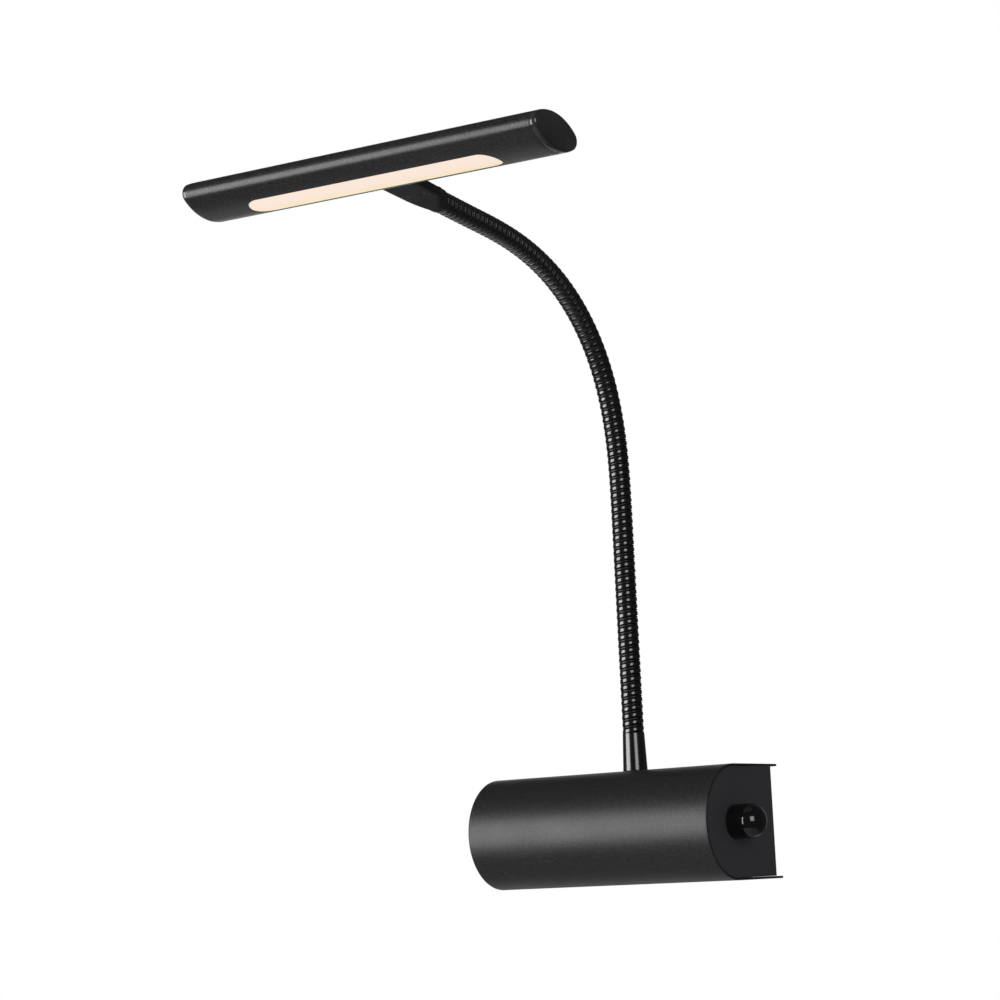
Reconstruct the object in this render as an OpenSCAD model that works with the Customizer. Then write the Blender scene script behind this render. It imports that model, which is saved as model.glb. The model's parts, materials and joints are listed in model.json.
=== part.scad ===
// Flexible wall lamp: a folded wall box with a dimmer knob, a wound gooseneck and an oval LED head.
// X runs along the wall, Y points into the wall, Z is up. The origin is on the wall behind the box's centre.

/* [Wall box] */
// Length of the box along the wall
box_len = 152.5; // [125:0.5:185]
// Height of the box, and so the diameter of its round front
box_h = 60; // [50:0.5:74]
// Depth of the box from the wall to the round front
box_depth = 72.5; // [64:0.5:90]
// Thickness of the folded sheet
sheet = 1.2; // [0.8:0.1:1.8]
// Thickness of the end plates
plate_t = 1.5; // [1:0.1:2.5]
// How far the end plates lie inside the ends of the sheet
plate_inset = 1; // [0.5:0.1:2.5]
// Gap between the wall and the back edge of the end plates
plate_back = 4.8; // [3:0.1:8]
// Length of the folded welding tabs on the end plates
tab_len = 9; // [5:0.5:14]

/* [Wall bracket] */
// Length of the bracket along the wall
bracket_len = 112; // [96:1:116]
// Thickness of the bracket
bracket_t = 1.5; // [1:0.1:2.5]
// Depth of the flanges that the box slides over
flange_depth = 13; // [11:0.5:18]
// Distance between the two wall screw slots
slot_spacing = 70; // [56:1:84]
// Width of a wall screw slot
slot_w = 4.5; // [3.6:0.1:5.5]
// Length of a wall screw slot, end to end
slot_len = 10; // [8:0.5:14]
// Diameter of the hole in the cable grommet
cable_hole_d = 8; // [6:0.5:10]
// Distance between the two screws that hold the box to the bracket
cover_screw_spacing = 84; // [70:1:98]

/* [Dimmer] */
// Diameter of the knob
knob_d = 18; // [15:0.5:22]
// Length of the knob
knob_len = 17.5; // [15:0.5:24]
// Distance of the knob's axis from the wall
knob_depth = 44; // [36:0.5:52]
// Diameter of the dimmer's shaft
shaft_d = 6; // [5:0.5:7]

/* [Gooseneck] */
// Outer diameter over the round wire
neck_d = 11.4; // [9.6:0.1:14]
// Distance from one turn of the round wire to the next
rib_pitch = 3.92; // [3.3:0.01:4.7]
// Diameter of the round wire
wire_d = 2.1; // [1.8:0.05:2.4]
// Diameter of the bore that the lead runs through
neck_bore_d = 5.8; // [4.8:0.1:6.4]
// Distance of the neck's foot from the wall
neck_depth = 20.5; // [17:0.5:28]
// How far the neck turns forward in all, in degrees
neck_bend = 83.2; // [60:0.1:90]
// Length of neck that stays upright before it turns
bend_start = 121; // [96:1:144]
// Height of the tapered ferrule
ferrule_h = 21.5; // [16:0.5:26]
// Diameter of the ferrule at its foot
ferrule_d = 13.4; // [12.6:0.1:18]

/* [Lamp head] */
// Length of the head with its end caps
head_len = 213.6; // [175:0.2:260]
// Width of the oval section
head_w = 38.4; // [34:0.2:46]
// Thickness of the oval section
head_t = 18.6; // [15:0.2:21.4]
// Radius of the oval's two edges
edge_r = 5.2; // [4.4:0.1:6]
// Wall of the oval tube
tube_wall = 1.4; // [1:0.1:1.7]
// Thickness of an end cap
cap_t = 3.4; // [2.8:0.1:4.6]
// Length of the light window
window_len = 150; // [124:1:160]
// Width of the light window
window_w = 17.8; // [15.4:0.2:20]
// Distance from the end of the neck to the middle of the head
head_reach = 57.1; // [50:0.1:70]
// How far the front of the head is tipped up, in degrees
head_tilt = 5.7; // [0:0.1:15]
// How far the head is turned to the right, in degrees
head_yaw = 3.8; // [-5:0.1:5]
// How far the right end of the head hangs lower, in degrees
head_roll = 1.2; // [-3:0.1:3]
// How far the head's axis lies below the neck's axis
head_drop = 0.8; // [0:0.1:1.5]
// Width of the bracket where it meets the head
bracket_end_w = 22.6; // [19:0.2:28]
// Number of LEDs on the board
led_count = 24; // [12:1:30]

/* [Hidden] */
$fn = 64;
fit = 0.15;         // gap round pieces that are put together and stay
shaft_play = 0.05;  // radial gap of the turning shaft
joint_gap = 0.25;   // gap between the ball and the cup of two neck stretches
past = 1;           // how far a cutter runs past the face that it cuts

// Wall box
front_r = box_h / 2;
arc_y = -(box_depth - front_r);
inner_r = front_r - sheet;
plate_r = inner_r - fit;
plate_out = box_len / 2 - plate_inset;
plate_in = plate_out - plate_t;
tab_w = 14;
tab_y = -27;

// Wall bracket and what is screwed to it
bracket_h = 2 * (inner_r - fit);
flange_inset = 6;
cover_screw_y = -8;
screw_r = 2;
screw_head_r = 3.6;
screw_head_h = 2.4;
sunk_r = screw_r + sheet;
cover_screw_len = 8;
grommet_z = bracket_h / 4;
grommet_lip = 2.5;
grommet_t = 2;
earth_x = bracket_len / 2 - 26;
earth_z = bracket_h / 4;
block_w = 24;
block_depth = 15;
block_h = 14;
block_x = -bracket_len / 2 + 25;
block_z = bracket_h / 2 - bracket_t - 4 - block_h / 2;
pole_pitch = 8;
pole_w = 6;
pole_bore_r = 1.6;
terminal_r = 1.9;

// Driver, lying on the floor of the box on its pad
driver_len = 84;
driver_w = 30;
driver_h = 21;
pad_t = 1.5;
pad_edge = 3.5;     // room between the pad and the flange, and the pad and the round front
pad_w = -arc_y - flange_depth - 2 * pad_edge;
pad_y = (arc_y - flange_depth) / 2;
driver_x = -10;
driver_y = -flange_depth - 1.5 - driver_w / 2;
driver_z = -inner_r + pad_t;
mouth_r = 3.4;
mouth_depth = 1;
high_mouth = [3, 11];
low_mouth = [-7, 7];
lead_start = mouth_depth / 2;
mains_lead_r = 1.1;
dimmer_lead_r = 0.9;

// Dimmer behind the right end plate
shaft_r = shaft_d / 2;
bush_r = shaft_r + 0.75;
bush_len = 5.5;
dimmer_w = 16.5;
dimmer_t = 9;
dimmer_nut_t = 2;
dimmer_nut_r = bush_r + 2.6;
dimmer_y = -knob_depth;
dimmer_lug_x = plate_in - 5;
dimmer_lug_z = -dimmer_w / 2 - 4;
lug_pitch = 5;
knob_gap = 0.5;
knob_dome = 8.4;    // length of the knob's round end
knob_x = plate_out + knob_gap;
knob_bore_depth = knob_len - 4;
shaft_end = knob_x + knob_bore_depth - 0.5;

// Foot of the neck
stud_r = 5;
stud_len = 11;
washer_t = 0.9;
washer_r = stud_r + 4;
nut_t = 5;
nut_r = 9.8;
notch_r = nut_r + 1.5;
neck_foot = [-neck_depth, front_r + ferrule_h];

// Gooseneck, made as stretches of whole turns that meet in ball joints between two turns
neck_r = neck_d / 2;
wire_r = wire_d / 2;
neck_bore_r = neck_bore_d / 2;
core_r = neck_r - 0.8;
ball_r = neck_r - 0.7;
cup_r = ball_r + joint_gap;
wedge_r = neck_r - 0.5;
wedge_root = 0.4;
wedge_tip = 0.25;
spigot_r = neck_r - 1.3;
spigot_len = 8;
foot_ribs = 2;
mid_ribs = 5;
tip_ribs = 7;        // the last turns run into the head bracket
joint_count = 18;
lead_r = 1.6;

// Lamp head, in a frame of its own: the origin is the last neck joint, -Y runs out along the neck
tube_len = head_len - 2 * cap_t;
edge_y = head_w / 2 - edge_r;
neck_end = tip_ribs * rib_pitch;
head_y = -(neck_end + head_reach);
head_z = -head_drop;
rail_w = 3.4;
rail_t = 1.2;
carrier_t = 2;
carrier_len = tube_len - 20;
board_w = 12;
board_t = 1;
spigot_wall = 1.5;
cap_spigot = 5;
cap_edge = 2.4;     // radius of the rounded edge of a cap
cap_steps = 4;
lens_lip = 2.4;
lens_back = 2.7;
// Bracket: a round barrel that flares into a flat tongue, with a cover let into the tongue's underside
barrel_r = neck_r + 0.6;
barrel_len = 6;
flare_end = 16;
tongue_t = 5.6;
tongue_edge = 1.8;
tongue_taper = 1.8; // how much narrower the tongue is where it leaves the flare
cover_start = neck_end + flare_end;
cover_len = 11.5;
cover_t = 1.1;
cover_z = head_z - tongue_t / 2 + cover_t;
channel_w = 6.4;
channel_h = 3.45;
bracket_screw_x = 6.5;
bracket_screw_y = -(cover_start + cover_len / 3);
bracket_screw_r = 1.2;
bracket_screw_sink = 0.9;
bracket_screw_len = 4.2;
saddle_screw_x = 7.5;
saddle_screw_r = 1.3;
saddle_head_r = 2.2;
// Where a flat screw head meets the round inside of the tube's back edge
saddle_seat = edge_y + sqrt(pow(edge_r - tube_wall, 2) - pow(saddle_head_r, 2)) - shaft_play;
lead_hole_r = lead_r + 0.6;

function stretch_ribs(i) = i == 0 ? foot_ribs : i == joint_count ? tip_ribs : mid_ribs;
function stretch_len(i) = stretch_ribs(i) * rib_pitch;
function run_to(i) = i == 0 ? 0 : run_to(i - 1) + stretch_len(i - 1);
// The turn ends at the last joint
bend_run = run_to(joint_count) - bend_start;
function ease(t) = let (c = min(max(t, 0), 1)) c * c * (3 - 2 * c);
// Lean of stretch i from upright: nothing at the foot, then an eased turn to neck_bend
function lean(i) = neck_bend * ease((run_to(i) + stretch_len(i) / 2 - bend_start) / bend_run);
// Lower end of stretch i, as [Y, Z]
function joint_at(i) =
    i == 0 ? neck_foot : joint_at(i - 1) + stretch_len(i - 1) * [-sin(lean(i - 1)), cos(lean(i - 1))];
function stretch_name(i) = str("neck_stretch_", i < 10 ? "0" : "", i);
function turn_x(a, p) = [p[0], p[1] * cos(a) - p[2] * sin(a), p[1] * sin(a) + p[2] * cos(a)];
function turn_y(a, p) = [p[0] * cos(a) + p[2] * sin(a), p[1], p[2] * cos(a) - p[0] * sin(a)];
function turn_z(a, p) = [p[0] * cos(a) - p[1] * sin(a), p[0] * sin(a) + p[1] * cos(a), p[2]];
// A point of the head's own frame, in the lamp's frame
function from_head(p) =
    let (j = joint_at(joint_count))
    [0, j[0], j[1]] + turn_z(head_yaw, turn_y(head_roll, turn_x(-head_tilt, p)));

// Routes of the leads: points chosen by hand from the pieces that they join, smoothed between them
route_steps = 2;
driver_right = driver_x + driver_len / 2;
driver_left = driver_x - driver_len / 2;
foot_y = -neck_depth;
foot_bottom = front_r - stud_len;
neck_lead_foot = [
    [driver_right - lead_start, driver_y + high_mouth[0], driver_z + high_mouth[1]],
    [driver_right + 6, driver_y + high_mouth[0], driver_z + high_mouth[1] + 1],
    [driver_right + 9, driver_y + 5, driver_z + 22],
    [driver_right - 6, foot_y - 2, foot_bottom - 10],
    [10, foot_y, foot_bottom - 8],
    [0, foot_y, foot_bottom - 1],
    [0, foot_y, front_r]
];
neck_lead_head = [
    [0, -neck_end, head_z / 2],
    [0, -neck_end - spigot_len, head_z],
    [0, -cover_start, head_z],
    [0, head_y + head_w / 2, head_z],
    [0, head_y + board_w / 2 + fit, head_z]
];
block_top = block_z - block_h / 2;
block_y = -bracket_t - block_depth * 0.35;
function mains_route(p) = [
    [driver_left + lead_start, driver_y + high_mouth[0] + 1.2 - 2.4 * p, driver_z + high_mouth[1]],
    [driver_left - 4, driver_y + high_mouth[0] + 1.2 - 2.6 * p, driver_z + high_mouth[1]],
    [driver_left - 9 + 4 * p, driver_y + 9 - 5 * p, driver_z + driver_h + 1],
    [block_x - pole_pitch * (1 - p) - 5, block_y - 2, block_top - 9],
    [block_x - pole_pitch * (1 - p), block_y, block_top - 3],
    [block_x - pole_pitch * (1 - p), block_y, block_top + 4]
];
function dimmer_route(p) = let (y = dimmer_y + (2 * p - 1) * lug_pitch) [
    [driver_right - lead_start, driver_y + low_mouth[0] - 1.4 + 2.8 * p, driver_z + low_mouth[1]],
    [driver_right + 5, driver_y + low_mouth[0] - 1.6 + 3 * p, driver_z + low_mouth[1] - 1],
    [driver_right + 14, lerp(driver_y - 7, y, 0.5), driver_z + 4],
    [dimmer_lug_x - 6, y, driver_z + 5],
    [dimmer_lug_x - 2.2, y, dimmer_lug_z - 2],
    [dimmer_lug_x - 1.6, y, dimmer_lug_z + 2]
];

// Helpers

module along_x(len) {
    rotate([90, 0, 90]) linear_extrude(len, center = true) children();
}

// Outline of the box's section: a half round front with straight sides back to the wall
module d_section(r, back) {
    translate([arc_y, 0]) circle(r = r);
    translate([arc_y, -r]) square([-arc_y - back, 2 * r]);
}

module slot_outline(len, width) {
    for (s = [-1, 1]) translate([s * (len - width) / 2, 0]) circle(d = width);
    square([len - width, width], center = true);
}

// Oval of four arcs, grown by the given distance from the tube's outside
module oval(grow) {
    half_w = head_w / 2 + grow;
    half_t = head_t / 2 + grow;
    r = edge_r + grow;
    flat_r = (pow(half_w - r, 2) + half_t * half_t - r * r) / (2 * (half_t - r));
    meet = flat_r * (half_w - r) / (flat_r - r);
    over = 0.02;
    intersection() {
        translate([0, half_t - flat_r]) circle(r = flat_r);
        translate([0, flat_r - half_t]) circle(r = flat_r);
        square([2 * meet, 2 * half_t], center = true);
    }
    for (s = [-1, 1]) translate([s * (half_w - r - over), 0]) circle(r = r + over);
}

module hex_prism(r, h) {
    cylinder(r = r, h = h, $fn = 6);
}

// Pan head screw pointing up from z = 0, its head below
module pan_screw(r, len, head_r, head_h) {
    difference() {
        union() {
            cylinder(r = r, h = len);
            translate([0, 0, -head_h / 2]) cylinder(r = head_r, h = head_h / 2);
            translate([0, 0, -head_h]) cylinder(r1 = head_r * 0.7, r2 = head_r, h = head_h / 2);
        }
        for (a = [0, 90]) rotate([0, 0, a])
            translate([0, 0, -head_h]) cube([head_r * 1.1, head_r * 0.28, head_h * 0.9], center = true);
    }
}

// Flat head screw pointing up from z = 0, its head sunk flush in a sheet
module sunk_screw(r, len, head_r, head_h) {
    difference() {
        union() {
            cylinder(r = r, h = len);
            cylinder(r1 = head_r, r2 = r, h = head_h);
        }
        for (a = [0, 90]) rotate([0, 0, a])
            cube([head_r * 1.2, head_r * 0.28, head_h * 1.6], center = true);
    }
}

module place_head() {
    j = joint_at(joint_count);
    translate([0, j[0], j[1]]) rotate([-head_tilt, head_roll, head_yaw]) children();
}

// The tube's own frame: X along the tube
module place_tube() {
    place_head() translate([0, head_y, head_z]) children();
}

function unit(v) = v / norm(v);
function lerp(a, b, t) = a + (b - a) * t;
function tangent(p, i) = unit(p[min(i + 1, len(p) - 1)] - p[max(i - 1, 0)]);
function side_of(v, t) = unit(v - (v * t) * t);
function sides_along(p, v, i = 0) =
    i == len(p) ? [] : let (n = side_of(v, tangent(p, i))) concat([n], sides_along(p, n, i + 1));
// Points of a smooth curve through p, with the given steps from each to the next
function smooth(p, steps) = concat([
    for (i = [0:len(p) - 2], k = [0:steps - 1])
        let (t = k / steps, a = p[max(i - 1, 0)], b = p[i], c = p[i + 1], d = p[min(i + 2, len(p) - 1)])
        b + 0.5 * t * ((c - a) + t * ((2 * a - 5 * b + 4 * c - d) + t * (3 * b - a - 3 * c + d)))
], [p[len(p) - 1]]);

// Round tube along the points of p
module lead(p, r, start_side = [0, 1, 0], sides = 8) {
    n = len(p);
    u = sides_along(p, start_side);
    points = [for (i = [0:n - 1], k = [0:sides - 1])
        let (a = 360 * k / sides, w = cross(tangent(p, i), u[i]))
        p[i] + r * (cos(a) * u[i] + sin(a) * w)];
    skin = [for (i = [0:n - 2], k = [0:sides - 1], h = [0, 1])
        let (a = i * sides + k, b = i * sides + (k + 1) % sides, c = b + sides, d = a + sides)
        h == 0 ? [a, c, b] : [a, d, c]];
    ends = [for (k = [1:sides - 2], h = [0, 1])
        let (z = (n - 1) * sides)
        h == 0 ? [0, k, k + 1] : [z, z + k + 1, z + k]];
    polyhedron(points, concat(skin, ends), convexity = 8);
}

// Wall box

module wall_box_shell() {
    color("#202022") difference() {
        along_x(box_len) difference() {
            d_section(front_r, 0);
            d_section(inner_r, -past);
        }
        translate([0, -neck_depth, inner_r - past]) cylinder(r = stud_r + fit, h = sheet + 2 * past);
        for (s = [-1, 1]) translate([s * cover_screw_spacing / 2, cover_screw_y, -front_r - past])
            cylinder(r1 = sunk_r + shaft_play + past, r2 = screw_r + shaft_play - past, h = sheet + 2 * past);
    }
}

// Right end plate, with two tabs folded in under the sheet
module end_plate(hole_r) {
    color("#19191b") difference() {
        union() {
            translate([(plate_in + plate_out) / 2, 0, 0]) along_x(plate_t) d_section(plate_r, plate_back);
            for (s = [-1, 1])
                translate([plate_in - tab_len, tab_y - tab_w / 2, s * (plate_r - plate_t / 2) - plate_t / 2])
                    cube([tab_len + plate_t / 2, tab_w, plate_t]);
        }
        if (hole_r > 0) translate([plate_in - past, dimmer_y, 0]) rotate([0, 90, 0])
            cylinder(r = hole_r, h = plate_t + 2 * past);
    }
}

module end_plate_left() {
    mirror([1, 0, 0]) end_plate(0);
}

module end_plate_right() {
    end_plate(bush_r + fit);
}

// Folded channel on the wall: two slots, a cable hole, an earth screw, two tapped flange holes
// and a notch in the upper flange that clears the neck's nut
module wall_bracket() {
    color("#b9bcc0") difference() {
        along_x(bracket_len) difference() {
            translate([-flange_depth, -bracket_h / 2]) square([flange_depth, bracket_h]);
            translate([-flange_depth - past, -bracket_h / 2 + bracket_t])
                square([flange_depth + past - bracket_t, bracket_h - 2 * bracket_t]);
        }
        for (s = [-1, 1], h = [-1, 1])
            translate([s * (bracket_len / 2), -flange_depth, h * bracket_h / 2])
                cube([2 * flange_inset, 2 * (flange_depth - bracket_t), 4 * bracket_t], center = true);
        translate([0, past, 0]) rotate([90, 0, 0]) linear_extrude(bracket_t + 2 * past)
            for (s = [-1, 1]) translate([s * slot_spacing / 2, 0]) slot_outline(slot_len, slot_w);
        translate([0, past, grommet_z]) rotate([90, 0, 0])
            cylinder(r = cable_hole_d / 2 + grommet_t, h = bracket_t + 2 * past);
        translate([earth_x, past, earth_z]) rotate([90, 0, 0])
            cylinder(r = screw_r + shaft_play, h = bracket_t + 2 * past);
        translate([-notch_r, -flange_depth - past, bracket_h / 2 - 2 * bracket_t])
            cube([2 * notch_r, past + flange_depth - neck_depth + notch_r, 3 * bracket_t]);
        for (s = [-1, 1])
            translate([s * cover_screw_spacing / 2, cover_screw_y, -bracket_h / 2 - past])
                cylinder(r = screw_r + shaft_play, h = bracket_t + 2 * past);
    }
}

// Rubber ring pressed into the cable hole from the front
module cable_grommet() {
    r = cable_hole_d / 2;
    color("#101010") translate([0, 0, grommet_z]) rotate([90, 0, 0]) rotate_extrude()
        polygon([
            [r, 0], [r + grommet_t - shaft_play, 0], [r + grommet_t - shaft_play, bracket_t],
            [r + grommet_t + grommet_lip, bracket_t],
            [r + grommet_t + grommet_lip - 0.8, bracket_t + grommet_t], [r, bracket_t + grommet_t]
        ]);
}

module cover_screws() {
    color("#2a2a2c") for (s = [-1, 1])
        translate([s * cover_screw_spacing / 2, cover_screw_y, -front_r])
            sunk_screw(screw_r, cover_screw_len, sunk_r, sheet);
}

module earth_screw() {
    color("#c8b26a") translate([earth_x, -bracket_t, earth_z]) rotate([-90, 0, 0])
        pan_screw(screw_r, bracket_t, screw_head_r, screw_head_h);
}

// Three pole connector on the bracket's face, with a lead hole and a screw hole at each pole
module terminal_block() {
    color("#e4e2da") translate([block_x, -bracket_t, block_z]) difference() {
        union() {
            translate([-block_w / 2, -block_depth * 0.6, -block_h / 2])
                cube([block_w, block_depth * 0.6, block_h]);
            for (p = [-1:1]) translate([p * pole_pitch - pole_w / 2, -block_depth, -block_h / 2])
                cube([pole_w, block_depth / 2, block_h]);
        }
        for (p = [-1:1]) translate([p * pole_pitch, 0, 0]) {
            translate([0, -block_depth * 0.35, -block_h / 2 - past])
                cylinder(r = pole_bore_r, h = block_h + 2 * past);
            for (h = [-1, 1]) translate([0, -block_depth - past, h * block_h / 4]) rotate([-90, 0, 0])
                cylinder(r = terminal_r + fit, h = block_depth * 0.5 + past);
        }
    }
}

module terminal_screws() {
    color("#c8b26a") for (p = [-1:1], h = [-1, 1])
        translate([block_x + p * pole_pitch, -bracket_t - block_depth * 0.5, block_z + h * block_h / 4])
            rotate([90, 0, 0]) difference() {
                cylinder(r = terminal_r, h = 4.5);
                translate([0, 0, 4.5]) cube([2 * terminal_r + past, 0.7, 1.4], center = true);
            }
}

// Moulded driver case with a lid step and two cable mouths at each end
module led_driver() {
    lid_h = 3;
    lid_step = 0.8;
    color("#e8e8e6") translate([driver_x, driver_y, driver_z]) difference() {
        union() {
            translate([-driver_len / 2, -driver_w / 2, 0]) cube([driver_len, driver_w, driver_h - lid_h]);
            translate([-driver_len / 2 + lid_step, -driver_w / 2 + lid_step, 0])
                cube([driver_len - 2 * lid_step, driver_w - 2 * lid_step, driver_h]);
        }
        for (s = [-1, 1], m = [high_mouth, low_mouth])
            translate([s * driver_len / 2, m[0], m[1]]) rotate([0, 90, 0])
                cylinder(r = mouth_r, h = 2 * mouth_depth, center = true);
    }
}

module driver_pad() {
    color("#8f8f8a") translate([driver_x, pad_y, -inner_r + pad_t / 2])
        cube([driver_len - 4 * pad_edge, pad_w, pad_t], center = true);
}

// Two insulated leads from the driver's left end up to the connector
module mains_leads() {
    colours = ["#6b4a2c", "#3b6ea8"];
    for (p = [0, 1]) color(colours[p]) lead(smooth(mains_route(p), route_steps), mains_lead_r, [0, 0, 1]);
}

// Dimmer

module dimmer_body() {
    color("#5d6064") translate([plate_in, dimmer_y, 0]) rotate([0, 90, 0]) difference() {
        union() {
            translate([-dimmer_w / 2, -dimmer_w / 2, -dimmer_t]) cube([dimmer_w, dimmer_w, dimmer_t - 1.5]);
            translate([0, 0, -2]) cylinder(r = dimmer_w / 2 - 0.4, h = 2);
            cylinder(r = bush_r, h = bush_len);
        }
        translate([0, 0, -dimmer_t + 2]) cylinder(r = shaft_r + shaft_play, h = dimmer_t + bush_len);
    }
}

// Three solder lugs on the lower edge of the dimmer
module dimmer_lugs() {
    color("#c9c9c9") for (p = [-1:1])
        translate([dimmer_lug_x - 0.4, dimmer_y + p * lug_pitch - 1, -dimmer_w / 2 - 6]) difference() {
            cube([0.8, 2, 6]);
            translate([-past, 1, 1.5]) rotate([0, 90, 0]) cylinder(r = 0.5, h = 3);
        }
}

module dimmer_nut() {
    color("#b9bcc0") translate([plate_out, dimmer_y, 0]) rotate([0, 90, 0]) difference() {
        hex_prism(dimmer_nut_r, dimmer_nut_t);
        translate([0, 0, -past]) cylinder(r = bush_r + shaft_play, h = dimmer_nut_t + 2 * past);
    }
}

// Two leads from the driver's right end to the dimmer's outer lugs
module dimmer_leads() {
    colours = ["#8c2f2f", "#2c2c2c"];
    for (p = [0, 1]) color(colours[p]) lead(smooth(dimmer_route(p), route_steps), dimmer_lead_r, [0, 0, 1]);
}

module dimmer_shaft() {
    color("#c9c9c9") translate([plate_in - dimmer_t + 2.5, dimmer_y, 0]) rotate([0, 90, 0])
        cylinder(r = shaft_r, h = shaft_end - (plate_in - dimmer_t + 2.5));
}

// Round knob with a domed end, hollowed at the back to clear the nut
module knob_outline() {
    r = knob_d / 2;
    intersection() {
        union() {
            square([r, knob_len - knob_dome]);
            translate([0, knob_len - knob_dome]) scale([1, knob_dome / r]) circle(r = r);
        }
        square([r, knob_len]);
    }
}

module dimmer_knob() {
    color("#0c0c0d") translate([knob_x, dimmer_y, 0]) rotate([0, 90, 0]) difference() {
        rotate_extrude() knob_outline();
        translate([0, 0, -past]) cylinder(r = shaft_r + shaft_play / 2, h = knob_bore_depth + past);
        translate([0, 0, -past]) cylinder(r = dimmer_nut_r + 0.6, h = bush_len - plate_t + past);
    }
}

// Foot of the neck

module neck_ferrule() {
    bore = neck_bore_r;
    rim = 1.4;
    color("#111112") translate([0, -neck_depth, front_r]) rotate_extrude() polygon([
        [bore, -stud_len], [stud_r, -stud_len], [stud_r, 0], [ferrule_d / 2, 0], [ferrule_d / 2, rim],
        [neck_r + 0.15, ferrule_h], [spigot_r + shaft_play, ferrule_h],
        [spigot_r + shaft_play, ferrule_h - spigot_len - fit], [bore, ferrule_h - spigot_len - fit]
    ]);
}

module neck_washer() {
    color("#b9bcc0") translate([0, -neck_depth, inner_r - washer_t]) difference() {
        cylinder(r = washer_r, h = washer_t);
        translate([0, 0, -past]) cylinder(r = stud_r + fit, h = washer_t + 2 * past);
    }
}

module neck_nut() {
    color("#b9bcc0") translate([0, -neck_depth, inner_r - washer_t - nut_t]) difference() {
        hex_prism(nut_r, nut_t);
        translate([0, 0, -past]) cylinder(r = stud_r + shaft_play, h = nut_t + 2 * past);
    }
}

// Gooseneck

// Half section of a stretch: a bored core, round wire turns and wedge wire turns between them
module stretch_outline(ribs, cup, ball) {
    run = ribs * rib_pitch;
    difference() {
        union() {
            translate([neck_bore_r, 0]) square([core_r - neck_bore_r, run]);
            for (k = [0:ribs - 1])
                translate([neck_r - wire_r, (k + 0.5) * rib_pitch]) circle(r = wire_r);
            for (k = [1:ribs - 1]) translate([0, k * rib_pitch]) polygon([
                [core_r - wedge_root, -rib_pitch / 4], [wedge_r, -wedge_tip],
                [wedge_r, wedge_tip], [core_r - wedge_root, rib_pitch / 4]
            ]);
            if (ball) intersection() {
                translate([0, run]) circle(r = ball_r);
                translate([neck_bore_r, run - ball_r]) square([ball_r, 2 * ball_r]);
            }
            if (!ball) translate([neck_bore_r, run - past])
                square([spigot_r - neck_bore_r, spigot_len + past]);
            if (!cup) translate([neck_bore_r, -spigot_len])
                square([spigot_r - neck_bore_r, spigot_len + past]);
        }
        if (cup) circle(r = cup_r);
    }
}

module neck_stretch(i) {
    j = joint_at(i);
    color("#161617") {
        if (i == joint_count)
            place_head() rotate([90, 0, 0]) rotate_extrude() stretch_outline(tip_ribs, true, false);
        else
            translate([0, j[0], j[1]]) rotate([lean(i), 0, 0])
                rotate_extrude() stretch_outline(stretch_ribs(i), i > 0, true);
    }
}

// Two core lead from the driver, up through the neck and the bracket to the LED board
module neck_lead() {
    neck_points = [for (i = [1:joint_count - 1]) let (j = joint_at(i)) [0, j[0], j[1]]];
    head_points = [for (p = concat([[0, 0, 0]], neck_lead_head)) from_head(p)];
    foot_run = smooth(neck_lead_foot, route_steps);
    color("#2e2e30") lead(concat(foot_run, neck_points, smooth(head_points, route_steps)), lead_r);
}

// Lamp head

// Bracket's body: round at the neck, flaring to a flat end at the head
module bracket_form() {
    reach = head_reach - edge_r;
    module slab(y, width) {
        for (s = [-1, 1], h = [-1, 1])
            translate([s * (width / 2 - tongue_edge), -neck_end - y, head_z + h * (tongue_t / 2 - tongue_edge)])
                rotate([90, 0, 0]) cylinder(r = tongue_edge, h = 1, $fn = 32);
    }
    hull() {
        translate([0, -neck_end, 0]) rotate([90, 0, 0]) cylinder(r = barrel_r, h = barrel_len, $fn = 48);
        slab(flare_end, bracket_end_w - tongue_taper);
    }
    hull() {
        slab(flare_end, bracket_end_w - tongue_taper);
        slab(reach, bracket_end_w);
    }
}

// Where the cover lies under the seam, grown by a gap
module cover_space(gap) {
    translate([-bracket_end_w, -cover_start - cover_len - gap, cover_z - head_t + gap])
        cube([2 * bracket_end_w, cover_len + 2 * gap, head_t]);
}

module tube_cutter(gap) {
    translate([0, head_y, head_z]) along_x(2 * bracket_end_w) oval(gap);
}

module head_bracket() {
    color("#1a1a1c") place_head() difference() {
        bracket_form();
        tube_cutter(shaft_play);
        cover_space(fit);
        translate([0, -neck_end + past, 0]) rotate([90, 0, 0])
            cylinder(r = spigot_r + shaft_play, h = spigot_len + fit + past);
        // wiring channel from the neck's socket to above the cover, and the lead's way on to the tube
        translate([-channel_w / 2, -cover_start - cover_len, cover_z])
            cube([channel_w, cover_len + flare_end - spigot_len, channel_h]);
        translate([0, head_y, head_z]) rotate([-90, 0, 0])
            cylinder(r = lead_hole_r, h = head_reach - flare_end - cover_len + past);
        for (s = [-1, 1]) translate([s * bracket_screw_x, bracket_screw_y, cover_z - past])
            cylinder(r = bracket_screw_r + shaft_play, h = bracket_screw_len - cover_t + fit + past);
        for (s = [-1, 1]) translate([s * saddle_screw_x, head_y, head_z]) rotate([-90, 0, 0])
            cylinder(r = saddle_screw_r + shaft_play, h = head_w / 2 + 9);
    }
}

// Cover in the bracket's underside, held by two sunk screws
module bracket_cover() {
    color("#1e1e20") place_head() difference() {
        intersection() {
            bracket_form();
            cover_space(0);
        }
        for (s = [-1, 1]) translate([s * bracket_screw_x, bracket_screw_y, cover_z - cover_t]) {
            cylinder(r = bracket_screw_r + shaft_play, h = cover_t + past);
            translate([0, 0, -past]) cylinder(r1 = bracket_screw_r + bracket_screw_sink + shaft_play + past,
                r2 = bracket_screw_r + shaft_play, h = bracket_screw_sink + past);
        }
    }
}

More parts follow.
